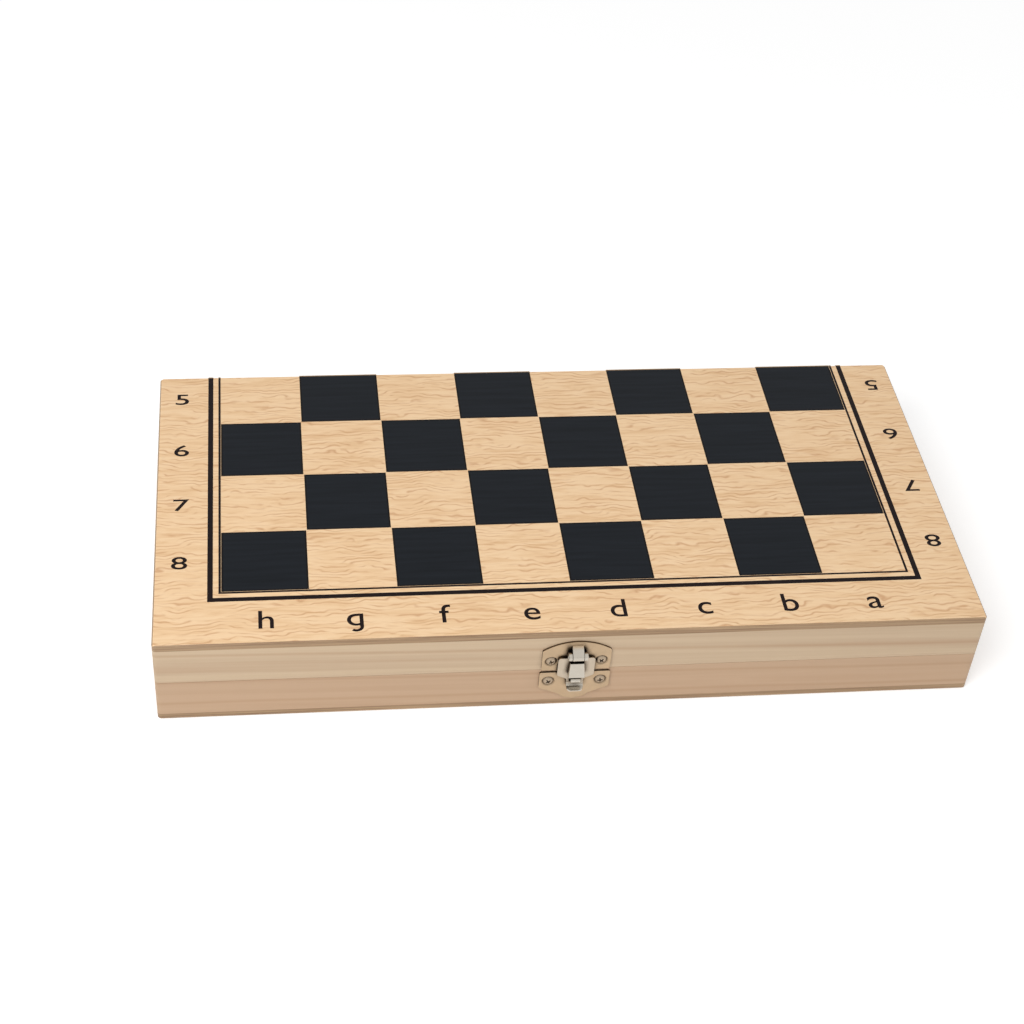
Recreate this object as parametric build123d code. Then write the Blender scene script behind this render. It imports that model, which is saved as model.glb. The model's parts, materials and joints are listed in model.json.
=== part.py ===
from build123d import *
import os
from math import acos, atan2, cos, hypot, sin

# A folding chess board that closes into a flat wooden box. The origin is the middle of the
# underside of the closed box. +X runs along the fold, +Y points to the fold, and the hasp
# is on the front, at -Y. The hasp's own sizes are given as a reach, measured outwards from
# the front face, and a height z above the underside.

# The box
BOX_LENGTH = 240.0
BOX_DEPTH = 120.0
HALF_HEIGHT = 15.0
RIM_GAP = 0.1
PANEL = 2.2
RAIL = 8.0
REBATE = 4.0
CORNER_RADIUS = 1.2
EDGE_CHAMFER = 0.4
BOX_HEIGHT = 2 * HALF_HEIGHT
FRONT = -BOX_DEPTH / 2
BACK = BOX_DEPTH / 2
SIDE = BOX_LENGTH / 2

# The printed board: eight files along the fold and four ranks on each half
SQUARE = 25.2
FILES = 8
RANKS = 4
FRONT_MARGIN = 20.7
PRINT_DEPTH = 0.15
PRINT_INSET = 0.1
THIN_LINE = 0.7
LINE_SPACE = 1.6
THICK_LINE = 1.6
BOARD_SIDE = FILES * SQUARE / 2
BOARD_FRONT = FRONT + FRONT_MARGIN

# Screws have few faces where they don't show
SCREW_FACES = 12

# The two butt hinges, let into the rims at the fold
HINGE_X = 72.0
HINGE_LENGTH = 22.0
AXIS_Y = BACK + 0.25
AXIS_Z = HALF_HEIGHT
LEAF = 0.8
LEAF_EDGE_Y = BACK - 6.8
KNUCKLE_RADIUS = 1.6
KNUCKLE_CLEARANCE = 0.25
KNUCKLE_GAP = 0.15
PIN_RADIUS = 0.8
RUNNING_CLEARANCE = 0.05
NOTCH_RADIUS = 2.0
HINGE_SCREW_X = 7.0
HINGE_SCREW_Y = BACK - 4.3
HINGE_SCREW_LENGTH = 7.0
HINGE_SCREW_HEAD = 1.5
HINGE_SCREW_SHANK = 0.8

# The hasp: two screwed plates, a hinged flap, and the nose that the flap closes over
HASP_X = 0.0
PLATE = 0.6
UPPER_PLATE_HALF = 10.0
UPPER_PLATE_FOOT_Z = 15.2
UPPER_PLATE_SHOULDER_Z = 23.0
UPPER_PLATE_TOP_Z = 26.4
CATCH_HALF = 10.3
CATCH_TOP_Z = 14.2
CATCH_SHOULDER_Z = 7.9
CATCH_WAIST = 4.4
CATCH_WAIST_Z = 5.2
CATCH_FOOT_Z = 3.1
UPPER_SCREW_X = 7.3
UPPER_SCREW_Z = 18.7
CATCH_SCREW_X = 7.6
CATCH_SCREW_Z = 10.6
PLATE_SCREW_HEAD = 1.6
PLATE_SCREW_SEAT = 1.2
PLATE_SCREW_SHANK = 0.8
PLATE_SCREW_LENGTH = 6.0
PLATE_SCREW_RIM = 0.3
PLATE_SCREW_CROWN = 0.9
PLATE_SCREW_CROWN_Z = 0.8
PLATE_SCREW_TOP = 0.95
DISH_RADIUS = 2.0

FLAP_AXIS_REACH = 2.2
FLAP_AXIS_Z = 22.2
FLAP_PIN_RADIUS = 0.8
FLAP_PIN_HALF = 3.0
FLAP_PIN_BEVEL = 0.15
BRIDGE_HALF = 1.6
BRIDGE_RADIUS = 1.4
BRIDGE_TOP_Z = 25.0
BRIDGE_FOOT_Z = 20.4
FLAP_KNUCKLE_RADIUS = 1.3
FLAP_KNUCKLE_INNER = 1.75
FLAP_KNUCKLE_OUTER = 2.75
FLAP_BACK = 0.8
FLAP_SHEET = 0.55
WING_HALF = 5.35
WING_TOP_Z = 20.6
WING_FOOT_Z = 13.6
STRAP_HALF = 2.45
STRAP_TOP_Z = 12.2
RIB_TOP_HALF = 2.05
RIB_TOP_Z = 19.6
RIB_TOP_REACH = 2.7
RIB_FOOT_Z = 14.7
RIB_FOOT_REACH = 3.8
RIB_WALL = 0.5
SLOT_HALF = 1.75
SLOT_TOP_Z = 13.55
SLOT_FOOT_Z = 11.05
LIP_BEND_Z = 10.9
LIP_BEND_RADIUS = 1.2
LIP_TURN = 70.0
LIP_LENGTH = 1.4
LIP_CORNER = 1.5

NOSE_HALF = 1.4
NOSE_RADIUS = 0.85
NOSE_REACH = 2.0
NOSE_Z = 12.3
NOSE_TOP_Z = 13.2
NOSE_FOOT_Z = 11.4


def block(x0, x1, y0, y1, z0, z1):
    """A box between two corners."""
    size = (x1 - x0, y1 - y0, z1 - z0)
    middle = ((x0 + x1) / 2, (y0 + y1) / 2, (z0 + z1) / 2)
    return Pos(*middle) * Box(*size)


def rod(x0, x1, y, z, radius):
    """A round bar along X."""
    return Pos((x0 + x1) / 2, y, z) * Rot(0, 90, 0) * Cylinder(radius, x1 - x0)


def front_plane(reach):
    """Sketch plane parallel to the front: X across from the hasp's middle, Y up as z."""
    return Plane(origin=(HASP_X, FRONT - reach, 0), x_dir=(1, 0, 0), z_dir=(0, -1, 0))


def from_front(outline, reach, thickness):
    """An outline drawn on the front, raised outwards from reach by thickness."""
    return extrude(front_plane(reach) * outline, amount=thickness, dir=(0, -1, 0))


def from_side(profile, half_width):
    """A profile of reach and z, as wide as twice half_width about the hasp's middle."""
    plane = Plane(origin=(HASP_X, FRONT, 0), x_dir=(0, -1, 0), z_dir=(-1, 0, 0))
    return extrude(plane * profile, amount=half_width, both=True)


# The wooden shells

def panel(z0, outer_face_up):
    """One face of the box, with a softened outer rim and the beds of its print."""
    outline = RectangleRounded(BOX_LENGTH, BOX_DEPTH, CORNER_RADIUS)
    board = Pos(0, 0, z0) * extrude(outline, amount=PANEL)
    outer_z = z0 + PANEL if outer_face_up else z0
    rim = board.edges().filter_by_position(Axis.Z, outer_z - 0.01, outer_z + 0.01)
    return chamfer(rim, EDGE_CHAMFER)


def side_rail(side, z0, z1):
    """A short rail, whose ends sit in the rebates of the long rails."""
    reach = BACK - REBATE
    inner, outer = sorted((side * (SIDE - RAIL), side * SIDE))
    return block(inner, outer, -reach, reach, z0, z1)


def long_rail(side, z0, z1):
    """A front or back rail with a rebate at each end and rounded outer corners."""
    inner, outer = sorted((side * (BACK - RAIL), side * BACK))
    rail = block(-SIDE, SIDE, inner, outer, z0, z1)
    inner, outer = sorted((side * (BACK - RAIL), side * (BACK - REBATE)))
    for end in (-1, 1):
        low, high = sorted((end * (SIDE - RAIL), end * SIDE))
        rail -= block(low, high, inner, outer, z0, z1)
    upright = rail.edges().filter_by(Axis.Z)
    corners = [e for e in upright if abs(e.center().Y - side * BACK) < 0.01]
    return fillet(corners, CORNER_RADIUS)


def print_layer(outline, outer_z, facing_up):
    """A flat layer of print, flush with the outer face of its panel."""
    z0 = outer_z - PRINT_DEPTH if facing_up else outer_z
    return Pos(0, 0, z0) * extrude(outline, amount=PRINT_DEPTH)


def dark_squares(first_dark, outer_z, facing_up):
    """The dark squares of one half. The rank at the fold is trimmed by the saw cut."""
    squares = []
    for rank in range(RANKS):
        y0 = BOARD_FRONT + rank * SQUARE + PRINT_INSET
        y1 = min(BOARD_FRONT + (rank + 1) * SQUARE - PRINT_INSET, BACK)
        for file in range((first_dark + rank) % 2, FILES, 2):
            x = -BOARD_SIDE + (file + 0.5) * SQUARE
            shape = Rectangle(SQUARE - 2 * PRINT_INSET, y1 - y0)
            shape = Pos(x, (y0 + y1) / 2) * shape
            squares.append(print_layer(shape, outer_z, facing_up))
    return squares


def border_line(distance, width, outer_z, facing_up):
    """A line round three sides of the squares, open at the fold."""
    inside = distance
    outside = distance + width
    depth_out = BACK - BOARD_FRONT + outside
    depth_in = BACK - BOARD_FRONT + inside
    outer = Pos(0, BACK - depth_out / 2) * Rectangle(2 * (BOARD_SIDE + outside), depth_out)
    inner = Pos(0, BACK - depth_in / 2) * Rectangle(2 * (BOARD_SIDE + inside), depth_in)
    return print_layer(outer - inner, outer_z, facing_up)


def border_lines(outer_z, facing_up):
    """The thin line at the squares and the thick one round it."""
    thick_at = THIN_LINE + LINE_SPACE
    return [
        border_line(0, THIN_LINE, outer_z, facing_up),
        border_line(thick_at, THICK_LINE, outer_z, facing_up),
    ]


# The hinges at the fold

def knuckle_spans():
    """The three knuckles along a hinge, as pairs of X from the hinge's middle."""
    length = HINGE_LENGTH / 3
    starts = [-HINGE_LENGTH / 2 + i * length for i in range(3)]
    return [(s + KNUCKLE_GAP / 2, s + length - KNUCKLE_GAP / 2) for s in starts]


def hinge_leaf(x, upper):
    """A leaf with its own knuckles: two on the lower leaf, one on the upper."""
    rise = RIM_GAP / 2
    near = AXIS_Z + rise if upper else AXIS_Z - rise
    far = near + LEAF if upper else near - LEAF
    z0, z1 = sorted((near, far))
    plate_end = AXIS_Y - KNUCKLE_RADIUS - KNUCKLE_CLEARANCE
    half = HINGE_LENGTH / 2
    leaf = block(x - half, x + half, LEAF_EDGE_Y, plate_end, z0, z1)
    spans = knuckle_spans()
    own = [spans[1]] if upper else [spans[0], spans[2]]
    for start, stop in own:
        leaf += block(x + start, x + stop, plate_end - 0.5, AXIS_Y, z0, z1)
        leaf += rod(x + start, x + stop, AXIS_Y, AXIS_Z, KNUCKLE_RADIUS)
    bore = PIN_RADIUS + RUNNING_CLEARANCE if upper else PIN_RADIUS
    return leaf - rod(x - half, x + half, AXIS_Y, AXIS_Z, bore)


def hinge_mortise(x, upper):
    """What is cut from a rim for a leaf and for the knuckles."""
    far = AXIS_Z + LEAF + RIM_GAP / 2 if upper else AXIS_Z - LEAF - RIM_GAP / 2
    z0, z1 = sorted((far, AXIS_Z))
    half = HINGE_LENGTH / 2
    bed = block(x - half, x + half, LEAF_EDGE_Y, BACK + 1, z0, z1)
    notch = rod(x - half - 0.3, x + half + 0.3, AXIS_Y, AXIS_Z, NOTCH_RADIUS)
    return [bed, notch]


def hinge_screws(upper):
    """Countersunk wood screws, two in each leaf, driven away from the rim."""
    face = AXIS_Z + RIM_GAP / 2 if upper else AXIS_Z - RIM_GAP / 2
    head_depth = HINGE_SCREW_HEAD - HINGE_SCREW_SHANK
    sections = [
        (HINGE_SCREW_HEAD, 0),
        (HINGE_SCREW_SHANK, -head_depth),
        (HINGE_SCREW_SHANK, -HINGE_SCREW_LENGTH),
    ]
    rings = [Pos(0, 0, z) * RegularPolygon(radius, SCREW_FACES) for radius, z in sections]
    screw = loft(rings, ruled=True)
    if upper:
        screw = Rot(180, 0, 0) * screw
    places = [(h * HINGE_X + s * HINGE_SCREW_X) for h in (-1, 1) for s in (-1, 1)]
    return [Pos(x, HINGE_SCREW_Y, face) * screw for x in places]


def hinge_pin(x):
    """The pin, tight in the lower leaf's knuckles, with the upper one turning on it."""
    half = HINGE_LENGTH / 2
    return rod(x - half, x + half, AXIS_Y, AXIS_Z, PIN_RADIUS)


# The hasp on the front

def plate_screws(x, z):
    """A pair of round-headed screws through the dished holes of a plate."""
    points = [
        (0, 0),
        (PLATE_SCREW_SEAT, 0),
        (PLATE_SCREW_HEAD, PLATE_SCREW_RIM),
        (PLATE_SCREW_CROWN, PLATE_SCREW_CROWN_Z),
        (0, PLATE_SCREW_TOP),
    ]
    head = revolve(Plane.XZ * Polygon(*points, align=None), Axis.Z)
    shank = RegularPolygon(PLATE_SCREW_SHANK, SCREW_FACES)
    screw = head + extrude(shank, amount=-PLATE_SCREW_LENGTH)
    outwards = Rot(90, 0, 0) * screw
    return [Pos(HASP_X + side * x, FRONT, z) * outwards for side in (-1, 1)]


def dishes(x, z):
    """The dished screw holes of a plate."""
    dish = Cone(PLATE_SCREW_SEAT, DISH_RADIUS, PLATE)
    dish = Rot(90, 0, 0) * dish
    return [Pos(HASP_X + side * x, FRONT - PLATE / 2, z) * dish for side in (-1, 1)]


def arch(reach, z, radius, top_z, foot_z, from_reach):
    """Side profile of a strip pressed out of a plate: round, with a straight foot each way."""
    shape = Pos(reach, z) * Circle(radius)
    tangents = []
    for end, turn in ((top_z, 1), (foot_z, -1)):
        across, up = from_reach - reach, end - z
        angle = atan2(up, across) - turn * acos(radius / hypot(across, up))
        tangents.append((reach + radius * cos(angle), z + radius * sin(angle)))
    top, foot = tangents
    feet = [(from_reach, top_z), top, (reach, z), foot, (from_reach, foot_z)]
    return shape + Polygon(*feet, align=None)


def hasp_plate():
    """The lid's plate: an arched top, dished holes, and the bridge that holds the pin."""
    half = UPPER_PLATE_HALF
    shoulder = UPPER_PLATE_SHOULDER_Z
    foot = UPPER_PLATE_FOOT_Z
    outline = make_face([
        Line((-half, shoulder), (-half, foot)),
        Line((-half, foot), (half, foot)),
        Line((half, foot), (half, shoulder)),
        ThreePointArc((half, shoulder), (0, UPPER_PLATE_TOP_Z), (-half, shoulder)),
    ])
    plate = from_front(fillet(outline.vertices(), 0.7), 0, PLATE)
    wall = BRIDGE_RADIUS - FLAP_PIN_RADIUS - RUNNING_CLEARANCE
    outer = arch(FLAP_AXIS_REACH, FLAP_AXIS_Z, BRIDGE_RADIUS, BRIDGE_TOP_Z, BRIDGE_FOOT_Z,
                 PLATE)
    hollow = arch(FLAP_AXIS_REACH, FLAP_AXIS_Z, BRIDGE_RADIUS - wall,
                  BRIDGE_TOP_Z - wall, BRIDGE_FOOT_Z + wall, 0)
    plate += from_side(outer, BRIDGE_HALF)
    plate -= from_side(hollow, BRIDGE_HALF)
    for dish in dishes(UPPER_SCREW_X, UPPER_SCREW_Z):
        plate -= dish
    return plate


def catch_plate():
    """The box's plate, with a rounded tail and the nose that fills the flap's slot."""
    right = [(CATCH_HALF, CATCH_TOP_Z), (CATCH_HALF, CATCH_SHOULDER_Z),
             (CATCH_WAIST, CATCH_WAIST_Z)]
    left = [(-x, z) for x, z in reversed(right)]
    outline = make_face([
        Line(left[2], right[0]),
        Line(right[0], right[1]),
        Line(right[1], right[2]),
        ThreePointArc(right[2], (0, CATCH_FOOT_Z), left[0]),
        Line(left[0], left[1]),
        Line(left[1], left[2]),
    ])
    plate = from_front(fillet(outline.vertices(), 0.6), 0, PLATE)
    plate += from_side(arch(NOSE_REACH, NOSE_Z, NOSE_RADIUS, NOSE_TOP_Z, NOSE_FOOT_Z, PLATE),
                       NOSE_HALF)
    for dish in dishes(CATCH_SCREW_X, CATCH_SCREW_Z):
        plate -= dish
    return plate


def flap_sheet():
    """The flat of the flap: a wide waist with wings that narrows to the strap."""
    right = [(WING_HALF, WING_TOP_Z), (WING_HALF, WING_FOOT_Z), (STRAP_HALF, STRAP_TOP_Z),
             (STRAP_HALF, LIP_BEND_Z)]
    left = [(-x, z) for x, z in reversed(right)]
    outline = Polygon(*right, *left, align=None)
    softened = [v for v in outline.vertices() if v.Y > LIP_BEND_Z + 0.1]
    sheet = from_front(fillet(softened, 0.9), FLAP_BACK, FLAP_SHEET)
    for side in (-1, 1):
        x0, x1 = sorted((side * FLAP_KNUCKLE_INNER, side * FLAP_KNUCKLE_OUTER))
        sheet += block(HASP_X + x0, HASP_X + x1, FRONT - FLAP_BACK - FLAP_SHEET,
                       FRONT - FLAP_BACK, WING_TOP_Z - 1, FLAP_AXIS_Z)
        sheet += rod(HASP_X + x0, HASP_X + x1, FRONT - FLAP_AXIS_REACH, FLAP_AXIS_Z,
                     FLAP_KNUCKLE_RADIUS)
    return sheet


def rib(inset):
    """The raised middle of the flap, or its hollow where inset is the wall."""
    side = Polygon(
        (FLAP_BACK, RIB_TOP_Z),
        (RIB_TOP_REACH - inset, RIB_TOP_Z),
        (RIB_FOOT_REACH - inset, RIB_FOOT_Z + inset + 0.3),
        (RIB_FOOT_REACH - inset - 0.3, RIB_FOOT_Z + inset),
        (FLAP_BACK, RIB_FOOT_Z + inset),
        align=None,
    )
    plan = Polygon(
        (-RIB_TOP_HALF + inset, RIB_TOP_Z),
        (-STRAP_HALF + inset, RIB_FOOT_Z),
        (STRAP_HALF - inset, RIB_FOOT_Z),
        (RIB_TOP_HALF - inset, RIB_TOP_Z),
        align=None,
    )
    solid = from_side(side, STRAP_HALF) & from_front(plan, 0, 2 * RIB_FOOT_REACH)
    if inset:
        return solid
    along = [e for e in solid.edges() if abs(e.tangent_at(0.5).Z) > 0.9
             and FRONT - e.center().Y > FLAP_BACK + 1]
    return fillet(along, 0.4)


def lip():
    """The tail of the strap, bent outwards into a rounded finger lip."""
    centre = (FLAP_BACK + FLAP_SHEET + LIP_BEND_RADIUS, LIP_BEND_Z)
    outer_radius = LIP_BEND_RADIUS + FLAP_SHEET
    bend = Pos(*centre) * (Circle(outer_radius) - Circle(LIP_BEND_RADIUS))
    quarter = Rectangle(2 * outer_radius, outer_radius, align=(Align.MAX, Align.MAX))
    bend = bend & (Pos(*centre) * quarter)
    cut = Pos(*centre) * Rot(0, 0, LIP_TURN - 180) * Rectangle(
        10, 10, align=(Align.MIN, Align.MIN))
    tongue = Pos(*centre) * Rot(0, 0, LIP_TURN - 180) * Pos(LIP_BEND_RADIUS, 0) * Rectangle(
        FLAP_SHEET, LIP_LENGTH, align=(Align.MIN, Align.MIN))
    profile = (bend - cut) + tongue
    solid = from_side(profile, STRAP_HALF)
    tip = FRONT - max(FRONT - v.Y for v in solid.vertices())
    depth = FRONT - tip
    plan = RectangleRounded(2 * STRAP_HALF, 2 * depth, LIP_CORNER)
    keep = Pos(HASP_X, FRONT, 0) * extrude(plan, amount=LIP_BEND_Z + 1)
    return solid & keep


def hasp_flap():
    """The swinging flap: winged sheet, raised rib, slot for the nose, and lip."""
    flap = flap_sheet() + rib(0) + lip()
    flap -= rib(RIB_WALL)
    opening = Pos(0, (RIB_TOP_Z + FLAP_AXIS_Z) / 2) * Rectangle(
        2 * FLAP_KNUCKLE_INNER, FLAP_AXIS_Z - RIB_TOP_Z)
    flap -= from_front(opening, 0, 2 * FLAP_SHEET + FLAP_BACK)
    slot_height = SLOT_TOP_Z - SLOT_FOOT_Z
    slot = Pos(0, SLOT_FOOT_Z + slot_height / 2) * RectangleRounded(
        2 * SLOT_HALF, slot_height, 0.4)
    flap -= from_front(slot, FLAP_BACK, FLAP_SHEET)
    bore = rod(HASP_X - FLAP_PIN_HALF, HASP_X + FLAP_PIN_HALF, FRONT - FLAP_AXIS_REACH,
               FLAP_AXIS_Z, FLAP_PIN_RADIUS)
    return flap - bore


def hasp_pin():
    """The flap's pin, tight in the flap and turning in the bridge, bevelled at both ends."""
    y = FRONT - FLAP_AXIS_REACH
    pin = rod(HASP_X - FLAP_PIN_HALF, HASP_X + FLAP_PIN_HALF, y, FLAP_AXIS_Z, FLAP_PIN_RADIUS)
    ends = pin.edges().filter_by(GeomType.CIRCLE)
    return chamfer(ends, FLAP_PIN_BEVEL)


# Assembly

def cut_all(solid, tools):
    """A solid with each tool taken out of it."""
    for tool in tools:
        solid -= tool
    return solid


def half_box(name, upper):
    """One half of the box: panel, rails, print, and what is screwed to them."""
    rim_z = HALF_HEIGHT + RIM_GAP / 2 if upper else HALF_HEIGHT - RIM_GAP / 2
    panel_z = BOX_HEIGHT - PANEL if upper else 0.0
    z0, z1 = (rim_z, panel_z) if upper else (PANEL, rim_z)
    outer_z = BOX_HEIGHT if upper else 0.0
    squares = dark_squares(0 if upper else 1, outer_z, upper)
    borders = border_lines(outer_z, upper)
    fold_screws = hinge_screws(upper)
    mortises = [t for s in (-1, 1) for t in hinge_mortise(s * HINGE_X, upper)]
    front_screws = (plate_screws(UPPER_SCREW_X, UPPER_SCREW_Z) if upper
                    else plate_screws(CATCH_SCREW_X, CATCH_SCREW_Z))
    return {
        f"{name}_panel": cut_all(panel(panel_z, upper), squares + borders),
        f"{name}_front_rail": cut_all(long_rail(-1, z0, z1), front_screws),
        f"{name}_back_rail": cut_all(long_rail(1, z0, z1), mortises + fold_screws),
        f"{name}_left_rail": side_rail(-1, z0, z1),
        f"{name}_right_rail": side_rail(1, z0, z1),
        f"{name}_dark_squares": squares,
        f"{name}_border_lines": borders,
        f"left_hinge_{name}_leaf": cut_all(hinge_leaf(-HINGE_X, upper), fold_screws),
        f"right_hinge_{name}_leaf": cut_all(hinge_leaf(HINGE_X, upper), fold_screws),
        f"{name}_hinge_screws": fold_screws,
        f"{'hasp' if upper else 'catch'}_plate_screws": front_screws,
    }


pieces = {}
pieces.update(half_box("lower", False))
pieces.update(half_box("upper", True))
pieces["left_hinge_pin"] = hinge_pin(-HINGE_X)
pieces["right_hinge_pin"] = hinge_pin(HINGE_X)
pieces["hasp_plate"] = cut_all(hasp_plate(), pieces["hasp_plate_screws"])
pieces["catch_plate"] = cut_all(catch_plate(), pieces["catch_plate_screws"])
pieces["hasp_flap"] = hasp_flap()
pieces["hasp_pin"] = hasp_pin()

os.makedirs("parts", exist_ok=True)
for node, shape in pieces.items():
    if isinstance(shape, list):
        shape = Compound(children=shape)
    export_step(shape, f"parts/{node}.step")
    print(node)
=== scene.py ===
import json
import math

import bmesh
import bpy
from mathutils import Matrix, Vector


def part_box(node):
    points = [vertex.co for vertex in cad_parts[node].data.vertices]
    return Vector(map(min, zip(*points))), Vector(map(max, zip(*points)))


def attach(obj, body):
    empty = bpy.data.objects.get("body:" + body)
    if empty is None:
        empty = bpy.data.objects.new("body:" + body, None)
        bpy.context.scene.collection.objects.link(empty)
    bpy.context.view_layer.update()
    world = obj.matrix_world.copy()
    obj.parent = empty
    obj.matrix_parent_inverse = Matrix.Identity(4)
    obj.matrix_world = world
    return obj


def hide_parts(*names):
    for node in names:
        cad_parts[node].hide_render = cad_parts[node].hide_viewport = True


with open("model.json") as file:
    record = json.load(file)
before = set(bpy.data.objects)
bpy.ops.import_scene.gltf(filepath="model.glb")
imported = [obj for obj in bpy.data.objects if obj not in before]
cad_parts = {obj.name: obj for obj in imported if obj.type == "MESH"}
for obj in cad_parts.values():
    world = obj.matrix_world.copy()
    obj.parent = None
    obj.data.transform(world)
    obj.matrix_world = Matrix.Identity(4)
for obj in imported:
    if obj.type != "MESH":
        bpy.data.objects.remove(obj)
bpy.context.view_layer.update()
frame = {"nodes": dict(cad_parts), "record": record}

MM = 0.001

# The box and its squares, read from the frame. The print stops a hair inside each square.
low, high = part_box("upper_panel")
SIDE = high.x
FRONT = low.y
BACK = high.y
TOP = high.z
SEAM = TOP / 2
squares_low, squares_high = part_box("upper_dark_squares")
PRINT_INSET = 0.1 * MM
SQUARE = (squares_high.x - squares_low.x + 2 * PRINT_INSET) / 8
BOARD_SIDE = 4 * SQUARE
BOARD_FRONT = squares_low.y - PRINT_INSET


def add_object(name, data):
    """A new object in the scene for a mesh, a curve, a lamp or a camera."""
    thing = bpy.data.objects.new(name, data)
    bpy.context.scene.collection.objects.link(thing)
    return thing


def shown_mesh(thing):
    """A mesh of what the object shows, with its curve or its modifiers worked out."""
    bpy.context.view_layer.update()
    state = bpy.context.evaluated_depsgraph_get()
    return bpy.data.meshes.new_from_object(thing.evaluated_get(state))


def cover(mesh, material):
    """Gives the mesh this material alone."""
    mesh.materials.clear()
    mesh.materials.append(material)


# Camera, at the photograph's viewing angle

CAMERA_PLACE = Vector((-86.2, -436.1, 417.6)) * MM
CAMERA_AZIMUTH = math.radians(-8.45)
CAMERA_ELEVATION = math.radians(42.7)
CAMERA_ROLL = math.radians(4.08)
FOCAL_PIXELS = 1924.7
PICTURE_PIXELS = 1024
CENTRE_PIXEL = (480, 540)
SENSOR = 36.0
NEAREST_SEEN = 10 * MM


def make_camera():
    data = bpy.data.cameras.new("camera")
    data.sensor_width = SENSOR
    data.lens = FOCAL_PIXELS / PICTURE_PIXELS * SENSOR
    half = PICTURE_PIXELS / 2
    data.shift_x = (half - CENTRE_PIXEL[0]) / PICTURE_PIXELS
    data.shift_y = (CENTRE_PIXEL[1] - half) / PICTURE_PIXELS
    data.clip_start = NEAREST_SEEN
    camera = add_object("camera", data)
    level = math.cos(CAMERA_ELEVATION)
    back = Vector((
        math.sin(CAMERA_AZIMUTH) * level,
        -math.cos(CAMERA_AZIMUTH) * level,
        math.sin(CAMERA_ELEVATION),
    ))
    right = (-back).cross(Vector((0, 0, 1))).normalized()
    up = right.cross(-back)
    turn, slip = math.cos(CAMERA_ROLL), math.sin(CAMERA_ROLL)
    rows = Matrix((turn * right + slip * up, turn * up - slip * right, back))
    camera.matrix_world = Matrix.Translation(CAMERA_PLACE) @ rows.transposed().to_4x4()
    bpy.context.scene.camera = camera


# Node helpers for the world and the materials

def paint(red, green, blue):
    """A colour as it shows on a screen, from 0 to 255, as the linear colour a shader takes."""
    def linear(value):
        value /= 255
        return value / 12.92 if value <= 0.04045 else ((value + 0.055) / 1.055) ** 2.4
    return (linear(red), linear(green), linear(blue), 1.0)


# A mix node has sockets of the same names for numbers. These are the ones for colours.
MIX_FIRST, MIX_SECOND, MIX_RESULT = 6, 7, 2


class Nodes:
    """Short calls for building a node tree."""

    def __init__(self, tree):
        self.tree = tree

    def add(self, kind, **settings):
        node = self.tree.nodes.new(kind)
        for key, value in settings.items():
            setattr(node, key, value)
        return node

    def feed(self, socket, value):
        """Links value into a socket, or sets it where it is a plain number or colour."""
        if isinstance(value, bpy.types.NodeSocket):
            self.tree.links.new(value, socket)
        else:
            socket.default_value = value

    def add_linked(self, kind, value):
        node = self.add(kind)
        self.feed(node.inputs[0], value)
        return node

    def math(self, operation, a, b=0.0, clamp=False):
        node = self.add("ShaderNodeMath", operation=operation, use_clamp=clamp)
        self.feed(node.inputs[0], a)
        self.feed(node.inputs[1], b)
        return node.outputs[0]

    def plus(self, a, b):
        return self.math("ADD", a, b)

    def minus(self, a, b):
        return self.math("SUBTRACT", a, b)

    def times(self, a, b):
        return self.math("MULTIPLY", a, b)

    def above(self, value, level, slope):
        """0 up to level, then rising by slope until it is 1."""
        return self.math("MULTIPLY", self.minus(value, level), slope, clamp=True)

    def below(self, value, level, slope):
        """0 down to level, then rising by slope until it is 1."""
        return self.math("MULTIPLY", self.minus(level, value), slope, clamp=True)

    def looked_at(self):
        """1 for rays that show a thing, straight or by way of gloss or glass, and else 0."""
        path = self.add("ShaderNodeLightPath").outputs
        seen = self.math("MAXIMUM", path["Is Camera Ray"], path["Is Glossy Ray"])
        return self.math("MAXIMUM", seen, path["Is Transmission Ray"])


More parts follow.
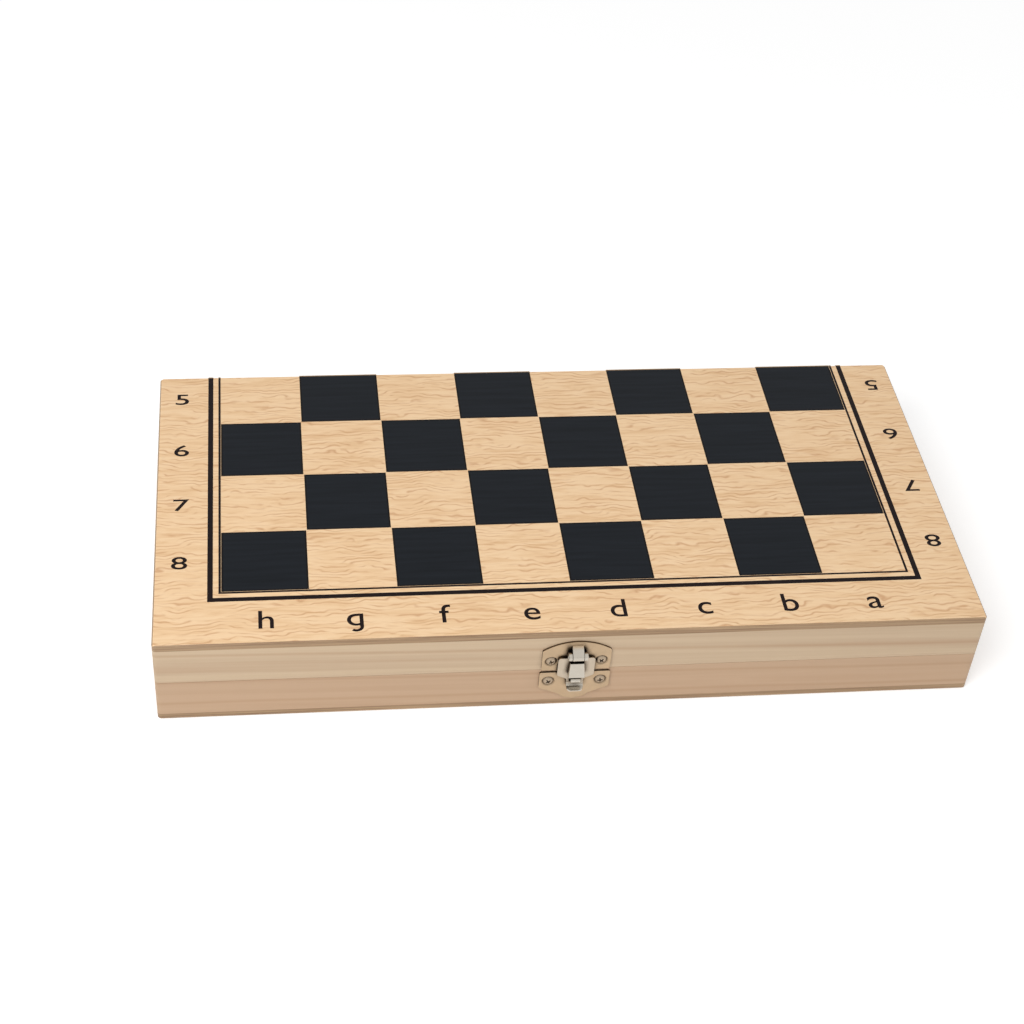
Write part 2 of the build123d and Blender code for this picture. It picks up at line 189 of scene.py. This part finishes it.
class Surface(Nodes):
    """Short calls for building one material."""

    def __init__(self, name):
        self.material = bpy.data.materials.new(name)
        self.material.use_nodes = True
        super().__init__(self.material.node_tree)
        self.shader = self.tree.nodes["Principled BSDF"]
        self.place = self.add("ShaderNodeTexCoord").outputs["Object"]

    def split(self, vector):
        return self.add_linked("ShaderNodeSeparateXYZ", vector).outputs

    def stretched(self, scale, offset=(0, 0, 0)):
        """The place on the object, with each axis times its own scale."""
        node = self.add("ShaderNodeMapping")
        self.feed(node.inputs["Vector"], self.place)
        node.inputs["Scale"].default_value = scale
        node.inputs["Location"].default_value = offset
        return node.outputs[0]

    def noise(self, vector, detail=3.0, roughness=0.5, distortion=0.0, scale=1.0):
        node = self.add("ShaderNodeTexNoise")
        self.feed(node.inputs["Vector"], vector)
        node.inputs["Scale"].default_value = scale
        node.inputs["Detail"].default_value = detail
        node.inputs["Roughness"].default_value = roughness
        node.inputs["Distortion"].default_value = distortion
        return node.outputs["Fac"]

    def ramp(self, value, stops):
        """Runs through the screen colours of stops as value rises."""
        node = self.add("ShaderNodeValToRGB")
        self.feed(node.inputs[0], value)
        line = node.color_ramp
        while len(line.elements) < len(stops):
            line.elements.new(0.5)
        for element, (at, colour) in zip(line.elements, stops):
            element.position = at
            element.color = paint(*colour)
        return node.outputs["Color"]

    def mix(self, share, a, b):
        node = self.add("ShaderNodeMix", data_type="RGBA", blend_type="MIX")
        self.feed(node.inputs["Factor"], share)
        self.feed(node.inputs[MIX_FIRST], a)
        self.feed(node.inputs[MIX_SECOND], b)
        return node.outputs[MIX_RESULT]

    def tint(self, share, most, colour, screen_colour):
        """colour, with up to most of a screen colour in it where share is 1."""
        return self.mix(self.times(share, most), colour, paint(*screen_colour))

    def bump(self, height, strength, distance):
        node = self.add("ShaderNodeBump")
        node.inputs["Strength"].default_value = strength
        node.inputs["Distance"].default_value = distance
        self.feed(node.inputs["Height"], height)
        self.feed(self.shader.inputs["Normal"], node.outputs[0])

    def finish(self, colour, roughness, **sockets):
        self.feed(self.shader.inputs["Base Color"], colour)
        self.feed(self.shader.inputs["Roughness"], roughness)
        for name, value in sockets.items():
            self.shader.inputs[name.replace("_", " ")].default_value = value
        return self.material


# Lights and floor

WHITE = (1, 1, 1, 1)
WORLD_STRENGTH = 0.47
FLOOR_HALF = 4.0
FLOOR_DROP = 0.05 * MM
FLOOR_GREY = 0.9
# The floor shines a little where it is looked at, more from FLOOR_NEAR to FLOOR_FAR metres
FLOOR_LIFT = 0.38
FLOOR_NEAR = 0.3
FLOOR_FAR = 1.6


def area_light(name, place, target, size, watts):
    data = bpy.data.lights.new(name, "AREA")
    data.shape = "DISK"
    data.size = size
    data.energy = watts
    lamp = add_object(name, data)
    lamp.location = place
    lamp.rotation_euler = (Vector(place) - Vector(target)).to_track_quat("Z", "Y").to_euler()


def make_world():
    """A soft light from all round, which is white where it is looked at."""
    world = bpy.data.worlds.new("studio")
    bpy.context.scene.world = world
    world.use_nodes = True
    n = Nodes(world.node_tree)
    n.tree.nodes.clear()
    mix = n.add_linked("ShaderNodeMixShader", n.looked_at())
    for socket, strength in zip(mix.inputs[1:], (WORLD_STRENGTH, 1.0)):
        light = n.add("ShaderNodeBackground")
        light.inputs["Color"].default_value = WHITE
        light.inputs["Strength"].default_value = strength
        n.feed(socket, light.outputs[0])
    n.add_linked("ShaderNodeOutputWorld", mix.outputs[0])


def make_floor():
    """A pale floor that keeps the object's shadow and fades to white further off."""
    mesh = bpy.data.meshes.new("floor")
    corners = [(x * FLOOR_HALF, y * FLOOR_HALF, 0)
               for x, y in ((-1, -1), (1, -1), (1, 1), (-1, 1))]
    mesh.from_pydata(corners, [], [(0, 1, 2, 3)])
    floor = add_object("floor", mesh)
    floor.location.z = -FLOOR_DROP
    n = Surface("floor")
    away = n.add_linked("ShaderNodeVectorMath", n.place)
    away.operation = "LENGTH"
    lift = n.add_linked("ShaderNodeMapRange", away.outputs["Value"])
    lift.inputs["From Min"].default_value = FLOOR_NEAR
    lift.inputs["From Max"].default_value = FLOOR_FAR
    lift.inputs["To Min"].default_value = FLOOR_LIFT
    lift.inputs["To Max"].default_value = 1 - FLOOR_GREY * WORLD_STRENGTH
    n.shader.inputs["Emission Color"].default_value = WHITE
    n.feed(n.shader.inputs["Emission Strength"], n.times(n.looked_at(), lift.outputs[0]))
    grey = (FLOOR_GREY, FLOOR_GREY, FLOOR_GREY, 1)
    cover(mesh, n.finish(grey, roughness=0.9, Specular_IOR_Level=0.0))


# Materials

# The board's short strokes of grain: the space between their rows, and how far rows wander
GRAIN_SPACE = 1.7 * MM
GRAIN_WANDER = 5.0
CUT_EDGE = 0.35 * MM
SANDED_EDGE = 0.42 * MM
BARE_EDGE = (172, 142, 108)
SQUARE_OUTLINE = 0.65 * MM
# The rails' fibres: how fine they are along the grain, across it and upwards
FIBRE_SCALES = (6.0, 160.0, 330.0)
GRAIN_TILT = 0.02
# The rails' dark streaks, by their heights at the left end and at the right end
STREAKS = [(26.5 * MM, 20.7 * MM), (15.7 * MM, 11.8 * MM), (7.1 * MM, 4.5 * MM)]
STREAK_HALF = 0.9 * MM
STREAK_SWAY = 1.2 * MM
# How far in front of the box plated metal starts to take its brighter painted highlight
PROUD_FROM = 0.75 * MM
INK_BLACK = (12, 10, 11)
# The colour of the painted shade in the metal's crevices
CREVICE_SHADE = (54, 40, 28)
CLOUDS = (120, 100, 78)


def board_wood():
    """Pale varnished beech with short wavy grain, and browner cut edges."""
    n = Surface("board_wood")
    drift = n.noise(n.stretched((9, 40, 40)), detail=2.0)
    tone = n.noise(n.stretched((60, 520, 520)), detail=4.0, roughness=0.6, distortion=0.8)
    wood = n.ramp(tone, [
        (0.28, (226, 184, 137)),
        (0.46, (241, 203, 158)),
        (0.60, (248, 214, 172)),
        (0.78, (233, 192, 147)),
    ])
    wood = n.tint(drift, 0.3, wood, (250, 214, 170))
    across = n.split(n.place)
    wander = n.noise(n.stretched((95, 130, 130)), detail=2.0)
    broken = n.noise(n.stretched((85, 620, 620), (3, 5, 7)), detail=2.0)
    bent = n.plus(n.times(across["Y"], 1 / GRAIN_SPACE), n.times(wander, GRAIN_WANDER))
    line = n.below(n.math("PINGPONG", bent, 0.5), level=0.24, slope=4.5)
    stroke = n.times(line, n.above(broken, level=0.4, slope=5.5))
    wood = n.tint(stroke, 0.75, wood, (206, 156, 112))
    edge_x = n.math("GREATER_THAN", n.math("ABSOLUTE", across["X"]), SIDE - CUT_EDGE)
    edge_y = n.math("GREATER_THAN", n.math("ABSOLUTE", across["Y"]), BACK - CUT_EDGE)
    ply = n.noise(n.stretched((30, 30, 2400)), detail=2.0)
    cut = n.ramp(ply, [(0.3, (140, 111, 83)), (0.7, (180, 150, 116))])
    n.bump(n.minus(1.0, stroke), strength=0.1, distance=0.05 * MM)
    wood = n.mix(n.math("MAXIMUM", edge_x, edge_y), wood, cut)
    return n.finish(wood, roughness=0.42, Specular_IOR_Level=0.35)


def rail_wood(name, grain_axis, other_axis):
    """Pine with long straight grain, and a few darker streaks that drift down along it."""
    n = Surface(name)
    across = n.split(n.place)
    level = n.plus(across["Z"], n.times(across[grain_axis], GRAIN_TILT))
    fibres = n.add("ShaderNodeCombineXYZ")
    for socket, value, scale in zip(fibres.inputs, (across[grain_axis], across[other_axis], level),
                                    FIBRE_SCALES):
        n.feed(socket, n.times(value, scale))
    grain = n.noise(fibres.outputs[0], roughness=0.55, distortion=0.4)
    fine = n.noise(fibres.outputs[0], detail=2.0, distortion=0.2, scale=6.0)
    wood = n.ramp(grain, [
        (0.28, (190, 161, 132)),
        (0.45, (197, 172, 143)),
        (0.62, (205, 181, 151)),
        (0.80, (193, 165, 136)),
    ])
    wood = n.tint(fine, 0.2, wood, (226, 203, 174))
    lower = n.math("LESS_THAN", across["Z"], SEAM)
    wood = n.tint(lower, 0.5, wood, (189, 150, 120))
    along = n.plus(n.times(across[grain_axis], 0.5 / SIDE), 0.5)
    sway = n.times(n.noise(n.stretched((16, 16, 16)), detail=1.0), STREAK_SWAY)
    for left, right in STREAKS:
        middle = n.plus(n.times(along, right - left), left)
        gap = n.math("ABSOLUTE", n.minus(n.plus(across["Z"], sway), middle))
        near = n.below(gap, level=STREAK_HALF, slope=1 / STREAK_HALF)
        wood = n.tint(near, 0.4, wood, (176, 138, 106))
    n.bump(fine, strength=0.05, distance=0.1 * MM)
    return n.finish(wood, roughness=0.5, Specular_IOR_Level=0.3)


def finish_ink(n, ink):
    """Ends a print's material, worn down to bare wood along the sanded edge at the fold."""
    edge = n.math("GREATER_THAN", n.split(n.place)["Y"], BACK - SANDED_EDGE)
    ink = n.mix(edge, ink, paint(*BARE_EDGE))
    return n.finish(ink, roughness=0.5, Specular_IOR_Level=0.1)


def dark_print():
    """Slate ink, blacker along each square's edges, with a little of the grain in it."""
    n = Surface("dark_print")
    across = n.split(n.place)
    file = n.times(n.plus(across["X"], BOARD_SIDE), 1 / SQUARE)
    rank = n.times(n.minus(across["Y"], BOARD_FRONT), 1 / SQUARE)
    distances = []
    for value in (file, rank):
        inside = n.math("FRACT", value)
        distances.append(n.math("MINIMUM", inside, n.minus(1.0, inside)))
    nearest = n.math("MINIMUM", *distances)
    outline = n.math("LESS_THAN", nearest, SQUARE_OUTLINE / SQUARE)
    grain = n.noise(n.stretched((40, 700, 700)), distortion=0.4)
    ink = n.ramp(grain, [(0.3, (16, 20, 25)), (0.7, (24, 28, 34))])
    n.bump(grain, strength=0.04, distance=0.1 * MM)
    return finish_ink(n, n.mix(outline, ink, paint(*INK_BLACK)))


def line_print():
    """Dark brown ink."""
    n = Surface("line_print")
    grain = n.noise(n.stretched((60, 600, 600)), detail=2.0)
    return finish_ink(n, n.ramp(grain, [(0.3, (14, 7, 8)), (0.7, (26, 13, 13))]))


def plated(name, dull_reflection, bright_highlight, shade_reach):
    """Nickel plating with painted light in its colour, and smoother on what stands out.

    The first colour is the plates' nickel, darkened and warmed as a painted reflection; the second
    is a brighter painted highlight on what stands out from them. Both are screen colours.
    Painted shade darkens where surfaces meet, within the given distance of each other.
    """
    n = Surface(name)
    cloud = n.noise(n.stretched((260, 260, 260)))
    # Painted highlight: the colour goes from the plates' painted reflection to the brighter
    # highlight on what stands out from the box
    reach = n.minus(FRONT, n.split(n.place)["Y"])
    proud_highlight = n.above(reach, level=PROUD_FROM, slope=1 / MM)
    metal = n.mix(proud_highlight, paint(*dull_reflection), paint(*bright_highlight))
    metal = n.tint(cloud, 0.3, metal, CLOUDS)
    # Painted shade: darker where surfaces meet closely, in crevices and recesses
    open_air = n.add("ShaderNodeAmbientOcclusion", samples=8)
    open_air.inputs["Distance"].default_value = shade_reach
    crevice_shaded = n.below(open_air.outputs["AO"], level=0.95, slope=2.4)
    metal = n.mix(crevice_shaded, metal, paint(*CREVICE_SHADE))
    rough = n.plus(n.minus(0.36, n.times(proud_highlight, 0.18)), n.times(cloud, 0.06))
    return n.finish(metal, rough, Metallic=1.0)


MATERIALS = {
    "board_wood": board_wood(),
    "rail_wood": rail_wood("rail_wood", "X", "Y"),
    "dark_print": dark_print(),
    "line_print": line_print(),
    "screw_steel": plated("screw_steel", (178, 160, 138), (194, 182, 166), 1.2 * MM),
    "hinge_steel": plated("hinge_steel", (196, 193, 188), (200, 198, 194), 0.8 * MM),
    "hasp_nickel": plated("hasp_nickel", (190, 166, 136), (198, 192, 180), 1.8 * MM),
}


def dress_nodes():
    """Gives each CAD node its slot's material. The short rails' grain runs along Y."""
    short_rail = rail_wood("rail_wood_short", "Y", "X")
    slots = {s["node"]: s["material_slot"] for s in frame["record"]["subparts"]}
    for name, node in frame["nodes"].items():
        short = name.endswith(("left_rail", "right_rail"))
        cover(node.data, short_rail if short else MATERIALS[slots[name]])


# The printed letters and numbers round the squares

LETTER_SIZE = 10.2 * MM
NUMBER_SIZE = 7.4 * MM
BOLDER = 0.05 * MM
LETTER_WIDER = 1.1
NUMBER_WIDER = 1.4
LETTER_BASE = FRONT + 5.6 * MM
NUMBER_BASE = 2.6 * MM
NUMBER_SIDE = SIDE - 7.2 * MM
PRINT_LIFT = 0.02 * MM
# The tail of the g, as shares of the letters' size
HOOK_DROP = 0.05
HOOK_RADIUS = 0.19
HOOK_STEM = 0.089
HOOK_TURN = math.radians(130)
HOOK_STEPS = 12
STEM_FOOT = 0.01


def hook(mesh, size):
    """Makes the q in mesh a g: shortens its stem and adds a curled tail at the foot."""
    lowest = min(v.co.y for v in mesh.vertices)
    right = max(v.co.x for v in mesh.vertices)
    foot = -HOOK_DROP * size
    for vertex in mesh.vertices:
        if vertex.co.y < lowest + STEM_FOOT * size:
            vertex.co.y = foot
    tail = bmesh.new()
    tail.from_mesh(mesh)
    middle = right - HOOK_RADIUS * size
    rows = []
    for k in range(HOOK_STEPS + 1):
        angle = -HOOK_TURN * k / HOOK_STEPS
        rows.append([tail.verts.new((middle + radius * size * math.cos(angle),
                                     foot + radius * size * math.sin(angle), 0))
                     for radius in (HOOK_RADIUS, HOOK_RADIUS - HOOK_STEM)])
    for this, following in zip(rows, rows[1:]):
        tail.faces.new((this[0], this[1], following[1], following[0]))
    tail.normal_update()
    turned_over = [face for face in tail.faces if face.normal.z < 0]
    bmesh.ops.reverse_faces(tail, faces=turned_over)
    tail.to_mesh(mesh)
    tail.free()


def character(name, sign, size, wider, centre, turn, below, body):
    """One printed character, centred on a point of the top, or of the underside if below."""
    curve = bpy.data.curves.new(name, "FONT")
    curve.body = "q" if sign == "g" else sign
    curve.size = size
    curve.align_x = "CENTER"
    curve.align_y = "BOTTOM_BASELINE"
    curve.offset = BOLDER
    text = add_object(name + "_text", curve)
    mesh = shown_mesh(text)
    bpy.data.objects.remove(text)
    if sign == "g":
        hook(mesh, size)
    face = Matrix.Rotation(math.pi, 4, "Y") if below else Matrix.Identity(4)
    z = -PRINT_LIFT if below else TOP + PRINT_LIFT
    place = Matrix.Translation((*centre, z)) @ Matrix.Rotation(turn, 4, "Z") @ face
    mesh.transform(place @ Matrix.Diagonal((wider, 1, 1, 1)))
    cover(mesh, MATERIALS["line_print"])
    piece = add_object(name, mesh)
    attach(piece, body)


def lettering():
    for i, letter in enumerate("hgfedcba"):
        centre = (-BOARD_SIDE + (i + 0.5) * SQUARE, LETTER_BASE)
        for where, below, body in (("top", False, "upper_half"), ("under", True, "lower_half")):
            character(f"file_{letter}_{where}", letter, LETTER_SIZE, LETTER_WIDER, centre, 0,
                      below, body)
    for i in range(4):
        y = BOARD_FRONT + (i + 0.5) * SQUARE
        for which, side, turn in (("left", -1, 0), ("right", 1, math.pi)):
            centre = (side * NUMBER_SIDE, y + side * NUMBER_BASE)
            for rank, below, body in ((8 - i, False, "upper_half"), (i + 1, True, "lower_half")):
                character(f"rank_{rank}_{which}", str(rank), NUMBER_SIZE, NUMBER_WIDER, centre,
                          turn, below, body)


# The plates' screws, with their domed heads and cross recesses

SCREW_HEAD = 1.6 * MM
SCREW_SEAT = 1.2 * MM
SCREW_SHANK = 0.8 * MM
SCREW_LENGTH = 6 * MM
SCREW_SIDES = 32
HEAD_RIM = 0.3 * MM
HEAD_TOP = 0.95 * MM
DOME_ROWS = 7
CROSS_HALF = 1.0 * MM
CROSS_WIDTH = 0.42 * MM
CROSS_DEPTH = 0.55 * MM
CROSS_NARROWER = 0.5
CROSS_ABOVE = 0.2 * MM
SHARP_FROM = math.radians(35)


def turned(name, profile):
    """A solid turned about Z from a profile of radius and height, closed at both ends."""
    mesh = bpy.data.meshes.new(name)
    points, faces = [], []
    for radius, height in profile:
        for k in range(SCREW_SIDES):
            angle = 2 * math.pi * k / SCREW_SIDES
            points.append((radius * math.cos(angle), radius * math.sin(angle), height))
    last = (len(profile) - 1) * SCREW_SIDES
    for row in range(0, last, SCREW_SIDES):
        for k in range(SCREW_SIDES):
            a, b = row + k, row + (k + 1) % SCREW_SIDES
            faces.append((a, b, b + SCREW_SIDES, a + SCREW_SIDES))
    faces.append(tuple(reversed(range(SCREW_SIDES))))
    faces.append(tuple(range(last, last + SCREW_SIDES)))
    mesh.from_pydata(points, [], faces)
    return add_object(name, mesh)


def cut_from(solid, tool):
    """Takes tool out of solid. The tool is used up."""
    cut = solid.modifiers.new("cut", "BOOLEAN")
    cut.object = tool
    cut.solver = "EXACT"
    mesh = shown_mesh(solid)
    solid.modifiers.clear()
    solid.data = mesh
    bpy.data.objects.remove(tool)


def cross_slot(x, y):
    """A slot of these half sizes in a screw's head. Its long way gets shorter with depth."""
    square = ((-1, -1), (1, -1), (1, 1), (-1, 1))
    deep_x = x * CROSS_NARROWER if x > y else x
    deep_y = y * CROSS_NARROWER if y > x else y
    corners = [(sx * deep_x, sy * deep_y, HEAD_TOP - CROSS_DEPTH) for sx, sy in square]
    corners += [(sx * x, sy * y, HEAD_TOP + CROSS_ABOVE) for sx, sy in square]
    sides = [(k, (k + 1) % 4, (k + 1) % 4 + 4, k + 4) for k in range(4)]
    mesh = bpy.data.meshes.new("slot")
    mesh.from_pydata(corners, [], [(3, 2, 1, 0), (4, 5, 6, 7)] + sides)
    return add_object("slot", mesh)


def cross_screw(name):
    """One screw on the Z axis, its head's seat at zero."""
    rise = HEAD_TOP - HEAD_RIM
    dome = (SCREW_HEAD**2 + rise**2) / (2 * rise)
    profile = [(SCREW_SHANK, -SCREW_LENGTH), (SCREW_SHANK, 0), (SCREW_SEAT, 0),
               (SCREW_HEAD, HEAD_RIM)]
    for k in range(1, DOME_ROWS):
        radius = SCREW_HEAD * (1 - k / DOME_ROWS)
        profile.append((radius, HEAD_TOP - dome + math.sqrt(dome**2 - radius**2)))
    screw = turned(name, profile)
    cut_from(screw, cross_slot(CROSS_HALF, CROSS_WIDTH / 2))
    cut_from(screw, cross_slot(CROSS_WIDTH / 2, CROSS_HALF))
    return screw


def plate_screws(node, body, turns):
    """The two screws of a plate, at the node's place, each stopped at its own turn."""
    low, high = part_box(node)
    for x, turn in zip((low.x + SCREW_HEAD, high.x - SCREW_HEAD), turns):
        screw = cross_screw(f"{node}_{'left' if x < 0 else 'right'}")
        outwards = Matrix.Rotation(math.pi / 2, 4, "X") @ Matrix.Rotation(turn, 4, "Z")
        screw.data.transform(Matrix.Translation((x, FRONT, (low.z + high.z) / 2)) @ outwards)
        for polygon in screw.data.polygons:
            polygon.use_smooth = True
        screw.data.set_sharp_from_angle(angle=SHARP_FROM)
        cover(screw.data, MATERIALS["screw_steel"])
        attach(screw, body)
    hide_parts(node)


make_camera()
make_world()
make_floor()
area_light("key", place=(-0.35, -0.42, 0.62), target=(-0.05, -0.05, 0), size=0.5, watts=3.5)
area_light("fill", place=(0.9, -0.6, 0.7), target=(0, 0, 0), size=0.9, watts=2.0)
dress_nodes()
lettering()
plate_screws("hasp_plate_screws", "upper_half", turns=(0.35, 0.9))
plate_screws("catch_plate_screws", "lower_half", turns=(0.6, 0.1))

bpy.context.scene.view_settings.view_transform = "Standard"
